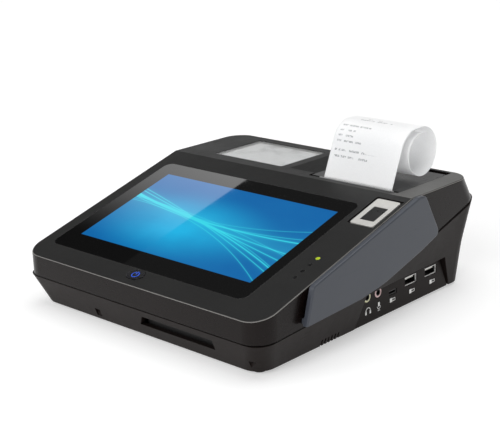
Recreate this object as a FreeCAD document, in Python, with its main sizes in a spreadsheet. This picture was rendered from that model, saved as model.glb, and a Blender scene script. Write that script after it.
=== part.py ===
import FreeCAD, Part
import math
import os
import Sketcher
from FreeCAD import Placement, Rotation, Vector

# A counter-top point-of-sale terminal with a sloping touch screen, a receipt printer
# under a lid in the rear deck, a card swipe fin and side connectors.
#
# Working axes: x to the terminal's right from its middle plane, y to the rear from its
# front face, z up from the underside of the base.  Every finished sub-part is moved by
# (origin_x, origin_y, origin_z), which puts the row's origin under the middle of the
# whole terminal at the level of the table.
#
# Plate axes: u to the right, v up the slope from its front edge, w out of the slope.

DIMENSIONS = {
    # outer shell
    "half_width": 108.5,
    "depth": 224.5,
    "lip_z": 34.4,
    "slope": 15.9,
    "ridge_y": 145.6,
    "deck_end_y": 215.5,
    "rear_edge_z": 60.0,
    "plan_round": 14.5,
    "deck_round": 16.5,
    "cavity_round": 30.0,
    "edge_round": 0.9,
    "top_wall": 2.4,
    "base_wall": 3.2,
    "floor_wall": 2.4,
    "base_half_width": 100.5,
    "base_front_y": 7.8,
    "base_rear_y": 218.5,
    "base_rear_z": 30.0,
    "base_rear_sweep": 60.0,
    "base_corner": 13.0,
    # line where the top housing meets the base
    "split_front_z": 19.5,
    "split_kink_y": 107.2,
    "split_kink_z": 25.6,
    "split_rear_z": 61.1,
    "split_round": 150.0,
    "split_gap": 0.7,
    "tongue": 1.2,
    "tongue_rise": 1.8,
    "slip": 0.1,
    "shoulder": 2.4,
    # side fin and the card gap behind it
    "fin_inner_x": 110.9,
    "fin_outer_x": 114.3,
    "fin_round": 1.2,
    # screen
    "glass_left": -98.3,
    "glass_right": 80.5,
    "glass_low": 16.9,
    "glass_high": 134.2,
    "glass_round": 6.0,
    "glass_thick": 1.6,
    "panel_middle": -6.7,
    "panel_width": 165.0,
    "panel_low": 27.5,
    "panel_high": 126.0,
    "panel_thick": 3.4,
    # power key
    "key_u": -6.4,
    "key_v": 10.8,
    "key_long": 14.4,
    "key_wide": 9.8,
    "key_round": 2.0,
    "key_play": 0.3,
    "mark_radius": 2.9,
    "mark_line": 0.7,
    "key_travel": 0.6,
    # indicators
    "lamp_u": 94.6,
    "lamp_v": 48.7,
    "lamp_pitch": 7.4,
    "lamp_radius": 1.5,
    # fingerprint module
    "print_left": 87.0,
    "print_right": 105.0,
    "print_low": 113.0,
    "print_high": 144.0,
    "print_recess": 1.0,
    # contactless reader window in the deck
    "window_left": -77.6,
    "window_right": -11.9,
    "window_front": 156.8,
    "window_rear": 206.6,
    "window_step": 1.4,
    # printer bay and lid
    "bay_left": 18.0,
    "bay_right": 93.6,
    "bay_front": 150.6,
    "bay_rear": 212.1,
    "lid_gap": 0.8,
    "lid_front": 153.8,
    "lid_thick": 2.6,
    "lid_drop": 0.3,
    "lid_rear_step": 0.5,
    "hinge_y": 207.8,
    "hinge_z": 72.0,
    "hinge_pin": 1.2,
    "hinge_barrel": 2.4,
    "scoop_left": -5.0,
    "scoop_drop": 3.4,
    # paper feed
    "paper_left": 30.7,
    "paper_right": 87.7,
    "paper_thick": 0.2,
    "platen_y": 158.0,
    "platen_z": 67.7,
    "platen_radius": 5.0,
    "paper_clear": 0.4,
    "shaft_radius": 1.6,
    "bush_radius": 3.0,
    "run_clear": 0.05,
    "roll_y": 187.0,
    "roll_z": 45.3,
    "roll_radius": 19.7,
    "core_radius": 6.5,
    "module": 0.8,
    "platen_teeth": 14,
    "idler_teeth": 24,
    "pinion_teeth": 9,
    "mesh_clear": 0.12,
    "gear_left": 91.0,
    "gear_right": 92.5,
    # connectors on the right side
    "usb_1_y": 156.9,
    "usb_2_y": 179.6,
    "usb_wide": 13.1,
    "micro_y": 137.0,
    "headphone_y": 109.6,
    "microphone_y": 121.0,
    "jack_radius": 3.3,
    "jack_z": 17.6,
    "port_face_x": 100.2,
    "port_front_y": 95.6,
    "port_rear_y": 201.5,
    "port_lean": 11.0,
    "port_high": 23.6,
    "groove_deep": 1.2,
    "board_z": 20.0,
    # battery, its door and the rear sockets
    "battery_left": -92.0,
    "battery_right": -14.0,
    "battery_front": 108.0,
    "battery_rear": 196.0,
    "inlet_x": -24.0,
    "inlet_wide": 12.0,
    "network_x": -49.7,
    "network_wide": 16.6,
    # card slot in the front wall
    "card_left": 2.0,
    "card_right": 67.7,
    "card_low": 8.0,
    "card_high": 15.0,
    "card_slant": 4.5,
    # underside
    "foot_height": 2.0,
}

doc = FreeCAD.newDocument("PosTerminal")
sheet = doc.addObject("Spreadsheet::Sheet", "Dim")
for row, (alias, number) in enumerate(DIMENSIONS.items(), start=1):
    sheet.set(f"A{row}", alias)
    sheet.set(f"B{row}", str(number))
    sheet.setAlias(f"B{row}", alias)
doc.recompute()

nodes = {}


# ---------------------------------------------------------------- expressions

def cells(text):
    """Turn cell aliases in a formula into references to the sheet."""
    words = []
    word = ""
    for letter in str(text) + " ":
        if letter.isalnum() or letter in "_.":
            word += letter
            continue
        words.append(f"Dim.{word}" if word in DIMENSIONS else word)
        words.append(letter)
        word = ""
    return "".join(words).strip()


def num(text):
    """Number that a formula of cell aliases gives."""
    return float(sheet.evalExpression(cells(text)))


def bind(item, **formulas):
    for prop, formula in formulas.items():
        item.setExpression(prop, cells(formula))


ORIGIN = {
    "x": "(half_width - fin_outer_x) / 2",
    "y": "-depth / 2",
    "z": "foot_height",
}


def place(item, x="0", y="0", z="0", plate=False):
    """Put an item at (x, y, z), or at (u, v, w) on the sloping plate."""
    spot = {"x": f"({x})", "y": f"({y})", "z": f"({z})"}
    if plate:
        spot["y"] = f"(({y}) * cos(slope) - ({z}) * sin(slope))"
        spot["z"] = f"(lip_z + ({y}) * sin(slope) + ({z}) * cos(slope))"
        item.Placement = Placement(Vector(), Rotation(Vector(1, 0, 0), num("slope")))
        item.setExpression(".Placement.Rotation.Angle", cells("slope"))
    for axis, formula in spot.items():
        item.setExpression(f".Placement.Base.{axis}", cells(formula))
    return item


def node(item, label):
    """Name a finished sub-part and move it to the row's own origin."""
    item.Label = label
    nodes[label] = item
    for axis, formula in ORIGIN.items():
        path = f".Placement.Base.{axis}"
        bound = {entry[0].lstrip("."): entry[1] for entry in item.ExpressionEngine}
        own = bound.get(path.lstrip("."))
        shift = cells(formula)
        item.setExpression(path, f"({own}) + {shift}" if own else shift)
    return item


# ---------------------------------------------------------------- plain solids

def block(name, x0, x1, y0, y1, z0, z1, plate=False):
    made = doc.addObject("Part::Box", name)
    bind(made, Length=f"({x1}) - ({x0})", Width=f"({y1}) - ({y0})", Height=f"({z1}) - ({z0})")
    return place(made, x0, y0, z0, plate)


TURN = {
    "x": Rotation(Vector(0, 1, 0), 90),
    "y": Rotation(Vector(1, 0, 0), -90),
    "z": Rotation(),
}


def rod(name, axis, x, y, z, radius, length):
    """Cylinder from (x, y, z) along a positive axis."""
    made = doc.addObject("Part::Cylinder", name)
    bind(made, Radius=radius, Height=length)
    made.Placement = Placement(Vector(), TURN[axis])
    for letter, formula in (("x", x), ("y", y), ("z", z)):
        made.setExpression(f".Placement.Base.{letter}", cells(formula))
    return made


def plate_rod(name, u, v, w, radius, length):
    """Cylinder standing on the sloping plate."""
    made = doc.addObject("Part::Cylinder", name)
    bind(made, Radius=radius, Height=length)
    return place(made, u, v, w, plate=True)


def cut(base, tool, name="cut"):
    made = doc.addObject("Part::Cut", name)
    made.Base = base
    made.Tool = tool
    return made


def common(first, second, name="common"):
    made = doc.addObject("Part::Common", name)
    made.Base = first
    made.Tool = second
    made.Refine = True
    return made


def fuse(items, name="fuse"):
    made = doc.addObject("Part::MultiFuse", name)
    made.Shapes = items
    made.Refine = True
    return made


def rounded(base, pick, radius, name="rounded"):
    """Round the edges that pick() chooses, by a radius held in the sheet's cells."""
    doc.recompute()
    made = doc.addObject("Part::Fillet", name)
    made.Base = base
    size = num(radius)
    chosen = [i for i, edge in enumerate(base.Shape.Edges, start=1) if pick(edge)]
    made.Edges = [(i, size, size) for i in chosen]
    return made


# ---------------------------------------------------------------- sketched bodies

def new_body(name):
    return doc.addObject("PartDesign::Body", name)


def sketch(body, name, role, at="0"):
    """Empty sketch on an origin plane of its own body, at a height above that plane."""
    plane = next(item for item in body.Origin.OriginFeatures if item.Role == role)
    made = body.newObject("Sketcher::SketchObject", name)
    made.AttachmentSupport = [(plane, "")]
    made.MapMode = "FlatFace"
    made.setExpression(".AttachmentOffset.Base.z", cells(at))
    return made


def pin_point(made, geometry, point, along, across):
    """Hold a sketch point at two distances from the sketch's origin."""
    for kind, formula in (("DistanceX", along), ("DistanceY", across)):
        rule = Sketcher.Constraint(kind, -1, 1, geometry, point, num(formula))
        made.setExpression(f"Constraints[{made.addConstraint(rule)}]", cells(formula))


def polygon(made, points):
    corners = [Vector(num(a), num(b), 0) for a, b in points]
    first = made.GeometryCount
    count = len(corners)
    for i, corner in enumerate(corners):
        made.addGeometry(Part.LineSegment(corner, corners[(i + 1) % count]), False)
    for i in range(count):
        after = first + (i + 1) % count
        made.addConstraint(Sketcher.Constraint("Coincident", first + i, 2, after, 1))
    for i, (along, across) in enumerate(points):
        pin_point(made, first + i, 1, along, across)


def rectangle(made, x0, x1, y0, y1):
    polygon(made, [(x0, y0), (x1, y0), (x1, y1), (x0, y1)])


def pad(body, made, length):
    feature = body.newObject("PartDesign::Pad", "pad")
    feature.Profile = made
    bind(feature, Length=length)
    body.Tip = feature
    return feature


def edge_round(body, feature, pick, radius):
    doc.recompute()
    chosen = [f"Edge{i}" for i, edge in enumerate(feature.Shape.Edges, start=1) if pick(edge)]
    made = body.newObject("PartDesign::Fillet", "round")
    made.Base = (feature, chosen)
    bind(made, Radius=radius)
    body.Tip = made
    return made


def upright(edge):
    """True for an edge that runs along z."""
    box = edge.BoundBox
    return box.ZLength > 0.3 and box.XLength < 1e-4 and box.YLength < 1e-4


def lengthwise(edge):
    """True for an edge that runs along x."""
    box = edge.BoundBox
    return box.XLength > 0.3 and box.ZLength < 1e-4 and box.YLength < 1e-4


def slab(name, x0, x1, y0, y1, z0, z1, radius=None, plate=False):
    """Rectangular plate, its upright corners rounded."""
    body = new_body(name)
    made = sketch(body, "outline", "XY_Plane", z0)
    rectangle(made, x0, x1, y0, y1)
    feature = pad(body, made, f"({z1}) - ({z0})")
    if radius:
        edge_round(body, feature, upright, radius)
    if plate:
        place(body, plate=True)
    return body


def side_prism(name, points, x0, x1):
    """Solid with a (y, z) outline between two x planes."""
    body = new_body(name)
    made = sketch(body, "side", "YZ_Plane", x0)
    polygon(made, points)
    pad(body, made, f"({x1}) - ({x0})")
    return body


def front_prism(name, points, y0, y1):
    """Solid with an (x, z) outline between two y planes."""
    body = new_body(name)
    made = sketch(body, "front", "XZ_Plane", f"-({y1})")
    polygon(made, points)
    pad(body, made, f"({y1}) - ({y0})")
    return body


# ---------------------------------------------------------------- shells

USB_SPOTS = ("usb_1_y", "usb_2_y")
JACKS = {"headphone_jack": "headphone_y", "microphone_jack": "microphone_y"}
RIDGE_Z = "lip_z + ridge_y * tan(slope)"
FAR = "half_width + 20"


def plan_prism(name, inset, low="-5", high="100", corner=None):
    """Rounded outline of the terminal seen from above."""
    edge = f"half_width - ({inset})"
    return slab(name, f"-({edge})", edge, inset, f"depth - ({inset})", low, high,
                corner or f"plan_round - ({inset})")


def top_side(name, inset, reach=FAR):
    """Side outline of the top housing: front band, slope, deck and rear bevel."""
    drop = f"({inset})"
    points = [
        (drop, "5"),
        (drop, f"lip_z + {drop} * tan(slope) - {drop} / cos(slope)"),
        (f"ridge_y + {drop} * tan(slope / 2)", f"{RIDGE_Z} - {drop}"),
        (f"deck_end_y - {drop} * 0.5", f"{RIDGE_Z} - {drop}"),
        (f"depth - {drop}", f"rear_edge_z - {drop} * 0.5"),
        (f"depth - {drop}", "5"),
    ]
    return side_prism(name, points, f"-({reach})", reach)


def under_split(name, rise):
    """Everything below the line where the two housings meet, raised by rise."""
    body = new_body(name)
    made = sketch(body, "side", "YZ_Plane", f"-({FAR})")
    front = "split_front_z - 20 * (split_kink_z - split_front_z) / split_kink_y"
    back = "split_rear_z + 20 * (split_rear_z - split_kink_z) / (depth - split_kink_y)"
    polygon(made, [
        ("-20", "-20"),
        ("-20", f"{front} + {rise}"),
        ("split_kink_y", f"split_kink_z + {rise}"),
        ("depth + 20", f"{back} + {rise}"),
        ("depth + 20", "-20"),
    ])
    feature = pad(body, made, f"2 * ({FAR})")
    kink = num(f"split_kink_z + {rise}")
    edge_round(body, feature, lambda edge: lengthwise(edge) and
               abs(edge.CenterOfMass.z - kink) < 0.01, "split_round")
    return body


def split_height(y):
    """Height of the straight split line at depth y, as a formula."""
    low = f"(split_kink_z - split_front_z) / split_kink_y"
    high = f"(split_rear_z - split_kink_z) / (depth - split_kink_y)"
    if num(f"{y} - split_kink_y") <= 0:
        return f"(split_kink_z + (({y}) - split_kink_y) * {low})"
    return f"(split_kink_z + (({y}) - split_kink_y) * {high})"


def base_hull(name, inset, floor):
    """Flared tub of the base: its sides lean out from the floor to the split line."""
    body = new_body(name)
    above = 4
    rows = []
    for place_y, lift in (("-5", 0), ("split_kink_y - 17", 0), ("split_kink_y", 1.0),
                          ("split_kink_y + 17", 0), ("depth + 8", 0)):
        made = sketch(body, "section", "XZ_Plane", f"-({place_y})")
        height = f"({split_height(place_y)} + {lift})"
        narrow = f"(base_half_width - ({inset}))"
        wide = f"({narrow} + (half_width - base_half_width) * ({height} + {above}) / {height})"
        polygon(made, [(f"-{narrow}", "0"), (narrow, "0"), (wide, f"{height} + {above}"),
                       (f"-{wide}", f"{height} + {above}")])
        rows.append(made)
    loft = body.newObject("PartDesign::AdditiveLoft", "flare")
    loft.Profile = rows[0]
    loft.Sections = rows[1:]
    loft.Ruled = True
    body.Tip = loft
    ends = side_prism(name + "_ends", [
        (f"base_front_y + ({inset})", floor),
        (inset, "split_front_z"),
        (inset, "100"),
        (f"depth - ({inset})", "100"),
        (f"depth - ({inset})", "split_rear_z"),
        (f"base_rear_y - ({inset})", "base_rear_z"),
        (f"base_rear_y - ({inset})", floor),
    ], f"-({FAR})", FAR)
    edge_round(ends, ends.Tip, lambda edge: lengthwise(edge) and
               abs(edge.CenterOfMass.z - num("base_rear_z")) < 0.01, "base_rear_sweep")
    trimmed = common(body, ends, name + "_trimmed")

    def corner(edge):
        box = edge.BoundBox
        spot = edge.CenterOfMass
        side = abs(spot.x) > num("base_half_width - 10")
        return box.ZLength > 8 and side and (spot.y < 12 or spot.y > num("base_rear_y - 4"))

    return rounded(trimmed, corner, f"base_corner - ({inset})", name + "_rounded")


# (x, y) of each base screw, height its post reaches, and the rib that carries a short post
SCREW_POSTS = [
    ("-88", "34", "33", ("-89", "-87", "1", "33", "22", "32")),
    ("88", "34", "80", None),
    ("-93", "198", "80", None),
    ("93", "198", "65", ("93", "half_width - 1", "197", "199", "57", "65")),
]


def screw_spots():
    """Middle of each of the four base screws."""
    return [(x, y) for x, y, top, rib in SCREW_POSTS]


def hexagon(name, grow, low, high):
    """Rounded six-sided prism for the power key, on the plate axes."""
    body = new_body(name)
    made = sketch(body, "outline", "XY_Plane", low)
    half = f"(key_long / 2 + ({grow}))"
    wide = f"(key_wide / 2 + ({grow}))"
    shoulder = f"({half} - {wide} * 0.62)"
    polygon(made, [
        (f"key_u - {half}", "key_v"),
        (f"key_u - {shoulder}", f"key_v - {wide}"),
        (f"key_u + {shoulder}", f"key_v - {wide}"),
        (f"key_u + {half}", "key_v"),
        (f"key_u + {shoulder}", f"key_v + {wide}"),
        (f"key_u - {shoulder}", f"key_v + {wide}"),
    ])
    feature = pad(body, made, f"({high}) - ({low})")
    edge_round(body, feature, upright, "key_round")
    return place(body, plate=True)


def rounded_outline(made, half, front, rear, radius):
    """Rectangle with equal arcs at its corners, tangent all the way round."""
    size = num(radius)
    across = num(half) - size
    spots = [(across, num(front) + size), (across, num(rear) - size),
             (-across, num(rear) - size), (-across, num(front) + size)]
    arcs = []
    lines = []
    for i, (x, y) in enumerate(spots):
        start = -math.pi / 2 + i * math.pi / 2
        ring = Part.Circle(Vector(x, y, 0), Vector(0, 0, 1), size)
        arc = Part.ArcOfCircle(ring, start, start + math.pi / 2)
        arcs.append(made.addGeometry(arc, False))
    for i in range(4):
        first = made.Geometry[arcs[i]].EndPoint
        second = made.Geometry[arcs[(i + 1) % 4]].StartPoint
        lines.append(made.addGeometry(Part.LineSegment(first, second), False))
    for i in range(4):
        made.addConstraint(Sketcher.Constraint("Tangent", arcs[i], 2, lines[i], 1))
        made.addConstraint(Sketcher.Constraint("Tangent", lines[i], 2, arcs[(i + 1) % 4], 1))
        rule = Sketcher.Constraint("Radius", arcs[i], size)
        made.setExpression(f"Constraints[{made.addConstraint(rule)}]", cells(radius))
    for i, (side, end, inward) in enumerate((("", front, "+"), ("", rear, "-"),
                                             ("-", rear, "-"), ("-", front, "+"))):
        pin_point(made, arcs[i], 3, f"{side}(({half}) - ({radius}))",
                  f"({end}) {inward} ({radius})")


def top_solid():
    """Outer form of the top housing; its rear corners open out towards the deck."""
    body = new_body("top_plan")
    low = sketch(body, "split_level", "XY_Plane", "rear_edge_z")
    rounded_outline(low, "half_width", "0", "depth", "plan_round")
    high = sketch(body, "deck_level", "XY_Plane", f"{RIDGE_Z} + 1")
    rounded_outline(high, "half_width", "0", "deck_end_y", "deck_round")
    loft = body.newObject("PartDesign::AdditiveLoft", "corners")
    loft.Profile = low
    loft.Sections = [high]
    loft.Ruled = True
    body.Tip = loft
    rear = fuse([body, plan_prism("low_plan", "0", "5", "rear_edge_z")], "rear_form")
    front = slab("front_plan", "-half_width", "half_width", "0", "depth", "5", "100",
                 "plan_round")
    split = block("rear_half", f"-({FAR})", FAR, "half_width", "depth + 5", "0", "100")
    fore = block("front_half", f"-({FAR})", FAR, "-5", "half_width", "0", "100")
    plan = fuse([common(rear, split, "rear_plan"), common(front, fore, "fore_plan")], "plan")
    return common(plan, top_side("top_side", "0"), "top_solid")


def make_top_housing():
    solid = top_solid()
    ridge = num(RIDGE_Z)

    def rim(edge):
        box = edge.BoundBox
        spot = edge.CenterOfMass
        on_slope = abs(spot.z - num("lip_z") - spot.y * num("tan(slope)")) < 2.2
        on_deck = abs(spot.z - ridge) < 0.05 and box.ZLength < 0.05
        side = abs(spot.x) > 90 or spot.y < 1 or spot.y > num("deck_end_y - 1")
        return side and (on_slope or on_deck) and spot.z > num("lip_z - 0.5")

    outer = rounded(solid, rim, "edge_round", "top_outer")
    cavity = common(plan_prism("cavity_plan", "top_wall", corner="cavity_round"),
                    top_side("cavity_side", "top_wall"), "cavity")
    shell = cut(outer, cavity, "top_shell")

    # material added inside: hinge blocks and the floor of the finger scoop
    inner = [shell]
    for left, right in (("bay_left - 5", "bay_left"), ("bay_right", "bay_right + 4")):
        inner.append(block("hinge_block", left, right, "hinge_y - 4.5", "hinge_y + 4",
                           "hinge_z - 4", f"{RIDGE_Z} - 1"))
    inner.append(front_prism("scoop_floor", [
        ("scoop_left - 2", f"{RIDGE_Z} - 1"),
        ("scoop_left - 2", f"{RIDGE_Z} - top_wall - 0.6"),
        ("bay_left", f"{RIDGE_Z} - scoop_drop - top_wall"),
        ("bay_left", f"{RIDGE_Z} - 1"),
    ], "window_front - 1.5", "window_rear + 3"))

    # openings
    tools = [under_split("below_split", "split_gap")]
    tools.append(common(plan_prism("tongue_plan", "top_wall"),
                        under_split("tongue_height", "tongue_rise + 0.4"), "tongue_room"))
    tools.append(slab("glass_seat", "glass_left - 0.15", "glass_right + 0.15",
                      "glass_low - 0.15", "glass_high + 0.15", "-glass_thick", "5",
                      "glass_round + 0.15", plate=True))
    tools.append(slab("panel_hole", "panel_middle - panel_width / 2 - 1",
                      "panel_middle + panel_width / 2 + 1", "panel_low - 1", "panel_high + 1",
                      "-6", "5", plate=True))
    tools.append(hexagon("key_hole", "key_play", "-8", "5"))
    tools += [plate_rod("lamp_hole", "lamp_u", f"lamp_v + {i} * lamp_pitch", "-5",
                        "lamp_radius", "10") for i in range(4)]
    tools.append(slab("print_seat", "print_left - 1.8", "print_right + 1.8", "print_low - 0.8",
                      "print_high + 1.8", "-print_recess", "5", "1.5", plate=True))
    tools.append(slab("print_hole", "print_left + 3", "print_right - 3", "print_low + 4.6",
                      "print_high - 8", "-6", "5", plate=True))
    tools.append(slab("window_seat", "window_left", "window_right", "window_front",
                      "window_rear", f"{RIDGE_Z} - window_step", "90", "2"))
    tools.append(slab("window_hole", "window_left + 2", "window_right - 2", "window_front + 2",
                      "window_rear - 2", "60", "90", "1"))
    tools.append(slab("bay", "bay_left", "bay_right", "bay_front", "bay_rear", "66", "90", "1"))
    tools.append(front_prism("scoop", [
        ("scoop_left", RIDGE_Z),
        ("bay_left + 1", f"{RIDGE_Z} - scoop_drop"),
        ("bay_left + 1", "90"),
        ("scoop_left", "90"),
    ], "window_front + 0.8", "window_rear + 0.8"))
    tools.append(rod("hinge_hole", "x", "bay_left - 3", "hinge_y", "hinge_z", "hinge_pin",
                     "bay_right - bay_left + 5.5"))
    tools.append(block("swipe_window", "half_width - 6", "half_width + 1", "91", "103",
                       "44", "58"))
    upper = cut(fuse(inner, "top_filled"), fuse(tools, "top_tools"), "top_open")

    # posts that take the base screws reach down past the split
    posts = [common(rod("post", "z", x, y, "5", "3.5", f"{top} - 5"), solid, "post_trimmed")
             for x, y, top, rib in SCREW_POSTS]
    posts += [block("post_rib", *rib) for x, y, top, rib in SCREW_POSTS if rib]
    holes = [rod("screw_hole", "z", x, y, "0", "1.5", "14") for x, y in screw_spots()]
    posted = fuse([upper] + posts, "top_posted")
    node(cut(posted, fuse(holes, "top_holes"), "top_housing"), "top_housing")


def make_base_housing():
    outer = base_hull("base_outer", "0", "0")
    inner = base_hull("base_inner", "base_wall", "floor_wall")
    # the wall behind the connector panel stays thick
    backing = block("port_backing", "port_face_x - 3.4", "half_width + 5", "port_front_y - 4",
                    "port_rear_y + 4", "0", "port_high + 3")
    cavity = cut(inner, backing, "base_cavity")
    kept = common(cut(outer, cavity, "base_shell"), under_split("base_split", "0"), "base_cut")

    # locating tongue inside the wall, standing above the split
    within = common(plan_prism("tongue_outer", "top_wall + slip", "2", "80"),
                    top_side("tongue_side", "top_wall + slip"), "tongue_within")
    ring = cut(within, plan_prism("tongue_inner", "top_wall + slip + tongue", "1", "90"),
               "tongue_ring")
    band = cut(under_split("tongue_top", "tongue_rise"), under_split("tongue_low", "-1.2"),
               "tongue_band")
    tongue = common(ring, band, "tongue")
    collars = [rod("collar", "z", x, y, "floor_wall - 1", "3.5", "3.5 - floor_wall + 2.5")
               for x, y in screw_spots()]
    body = fuse([kept, tongue] + collars, "base_filled")

    tools = []
    for x, y in screw_spots():
        tools.append(rod("screw_way", "z", x, y, "-1", "1.65", "10"))
        tools.append(rod("counterbore", "z", x, y, "-1", "3.1", "2.4"))
    # connector panel with its rounded end groove
    tools.append(side_prism("port_panel", [
        ("port_front_y", "-1"), ("port_rear_y", "-1"), ("port_rear_y - port_lean", "port_high"),
        ("port_front_y + 4", "port_high"),
    ], "port_face_x", FAR))
    tools.append(side_prism("panel_groove", [
        ("port_rear_y - 2", "-1"), ("port_rear_y", "-1"),
        ("port_rear_y - port_lean", "port_high"), ("port_rear_y - port_lean - 2", "port_high"),
    ], "port_face_x - groove_deep", FAR))
    for y in USB_SPOTS:
        tools.append(block("usb_hole", "90", FAR, f"{y} - usb_wide / 2 - 0.2",
                           f"{y} + usb_wide / 2 + 0.2", "board_z - 7.2", "board_z - 1.0"))
    tools.append(block("micro_hole", "90", FAR, "micro_y - 4.2", "micro_y + 4.2",
                       "board_z - 8.4", "board_z - 5.2"))
    for y in JACKS.values():
        tools.append(rod("jack_hole", "x", "90", y, "jack_z", "jack_radius + 0.1", "30"))
    # card reader mouth in the front wall, its left end slanted
    tools.append(front_prism("card_mouth", [
        ("card_left", "card_low"), ("card_right", "card_low"), ("card_right", "card_high"),
        ("card_left + card_slant", "card_high")], "-5", "10"))
    # lamp and latch notches along the front foot
    for left, right, low, high in (("-42.5", "-37.5", "2.5", "8"), ("94", "98.4", "3", "8")):
        tools.append(block("notch", left, right, "-2", "7.4", low, high))
    # speaker slots
    for i in range(6):
        tools.append(block("sound_slot", "base_half_width - 5", FAR, f"62 + {i} * 3.2",
                           f"63.4 + {i} * 3.2", "-1", "4.4"))
    # battery bay in the floor
    tools.append(slab("battery_hole", "battery_left", "battery_right", "battery_front",
                      "battery_rear", "-1", "floor_wall + 0.5", "3"))
    # rear connectors
    tools.append(block("inlet_hole", "inlet_x - inlet_wide / 2", "inlet_x + inlet_wide / 2",
                       "205", "230", "9", "20"))
    tools.append(block("network_hole", "network_x - network_wide / 2",
                       "network_x + network_wide / 2", "205", "230", "9", "23.4"))
    tools += [shoulder_tool(side) for side in (1, -1)]
    node(cut(body, fuse(tools, "base_tools"), "base_housing"), "base_housing")


def shoulder_tool(side):
    """Box whose underside bevels the base's top edge, from nothing at the kink to the rear."""
    made = doc.addObject("Part::Box", "shoulder")
    bind(made, Length="depth", Width="depth", Height="20")
    along = Vector(-side * num("shoulder"), num("depth - split_kink_y"),
                   num("split_rear_z - split_kink_z"))
    out = Vector(side, 0, -0.9)
    if side > 0:
        turn = Rotation(out, along, out.cross(along), "YXZ")
    else:
        turn = Rotation(along, out, along.cross(out), "XYZ")
    made.Placement = Placement(Vector(), turn)
    for axis, formula in (("x", f"{side} * half_width"), ("y", "split_kink_y"),
                          ("z", "split_kink_z")):
        made.setExpression(f".Placement.Base.{axis}", cells(formula))
    return made


FIN_SIDE = [
    ("34.2", "24.8"), ("86.1", "27"), ("114.8", "31.3"), ("148.2", "40.6"), ("169.6", "47.9"),
    ("159.7", "65.6"), ("153.5", f"{RIDGE_Z} + 1"), ("146", f"{RIDGE_Z} + 1.4"),
    ("41", "lip_z + 41 * tan(slope) + 1.8"),
]


def make_side_fin():
    """Outer cheek of the card swipe gap with the gap's floor in one piece."""
    body = new_body("side_fin")
    made = sketch(body, "side", "YZ_Plane", "fin_inner_x")
    polygon(made, FIN_SIDE)
    feature = pad(body, made, "fin_outer_x - fin_inner_x")

    def corner(edge):
        spot = edge.CenterOfMass
        return lengthwise(edge) and spot.z > num("lip_z + 2") and not 60 < spot.y < 150

    feature = edge_round(body, feature, corner, "4")
    edge_round(body, feature, lambda edge: abs(edge.CenterOfMass.x - num("fin_outer_x")) < 0.01
               and edge.CenterOfMass.z > num("lip_z - 4"), "fin_round")
    floor = side_prism("gap_floor", [
        ("36", "25.2"), ("86.1", "27.4"), ("114.8", "31.7"), ("148.2", "41"), ("166", "47"),
        ("166", "50.5"), ("148.2", "44"), ("114.8", "34.7"), ("86.1", "30.4"), ("36.6", "28.2"),
    ], "half_width", "fin_inner_x + 1")
    node(fuse([body, floor], "side_fin"), "side_fin")


def make_screen():
    node(slab("touch_glass", "glass_left", "glass_right", "glass_low", "glass_high",
              "-glass_thick", "0", "glass_round", plate=True), "touch_glass")
    left = "panel_middle - panel_width / 2"
    right = "panel_middle + panel_width / 2"
    back = "-glass_thick - 0.2 - panel_thick"
    node(slab("lcd_panel", left, right, "panel_low", "panel_high", back, "-glass_thick - 0.2",
              "1", plate=True), "lcd_panel")
    tray = slab("tray_outer", f"{left} - 2", f"{right} + 2", "panel_low - 2", "panel_high + 2",
                f"{back} - 1", "-3", "2", plate=True)
    hollow = slab("tray_inner", f"{left} - 0.2", f"{right} + 0.2", "panel_low - 0.2",
                  "panel_high + 0.2", back, "0", "1", plate=True)
    node(cut(tray, hollow, "lcd_frame"), "lcd_frame")


def make_power_key():
    cap = hexagon("key_cap", "0", "-top_wall - 0.2", "0.3")
    rim = hexagon("key_rim", "1.2", "-top_wall - 1", "-top_wall - 0.2")
    body = fuse([cap, rim], "key_body")
    seat = ring_mark("symbol_seat", "0", "-0.2", "0.6")
    node(cut(body, seat, "power_key"), "power_key")
    node(ring_mark("power_key_symbol", "0.02", "-0.2", "0.35"), "power_key_symbol")
    node(block("power_switch", "key_u - 3", "key_u + 3", "key_v - 3", "key_v + 3", "-6.6",
               "-top_wall - 1.1 - key_travel", plate=True), "power_switch")
    node(slab("key_board", "key_u - 9", "key_u + 9", "key_v - 5", "key_v + 5", "-7.8", "-6.6",
              "1", plate=True), "key_board")


def ring_mark(name, shrink, low, high):
    """Open ring with a bar through its gap, the usual on/off mark."""
    outer = plate_rod("mark_outer", "key_u", "key_v - 0.2", low, f"mark_radius - {shrink}",
                      f"{high} - ({low})")
    inner = plate_rod("mark_inner", "key_u", "key_v - 0.2", f"{low} - 1",
                      f"mark_radius - mark_line + {shrink}", f"{high} - ({low}) + 2")
    gap = block("mark_gap", "key_u - 1", "key_u + 1", "key_v", "key_v + 4", f"{low} - 1",
                f"{high} + 1", plate=True)
    ring = cut(cut(outer, inner, "mark_ring"), gap, "mark_open")
    bar = block("mark_bar", f"key_u - mark_line / 2 + {shrink}",
                f"key_u + mark_line / 2 - {shrink}", f"key_v + {shrink}",
                f"key_v + mark_radius + 0.2 - {shrink}", low, high, plate=True)
    return fuse([ring, bar], name)


def make_indicators():
    for i in range(4):
        spot = f"lamp_v + {i} * lamp_pitch"
        lens = plate_rod("lens", "lamp_u", spot, "-3.2", "lamp_radius", "3.2")
        collar = plate_rod("lens_collar", "lamp_u", spot, "-4.2", "lamp_radius + 0.8", "1")
        node(fuse([lens, collar], "indicator_lens"), f"indicator_lens_{i + 1}")


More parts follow.
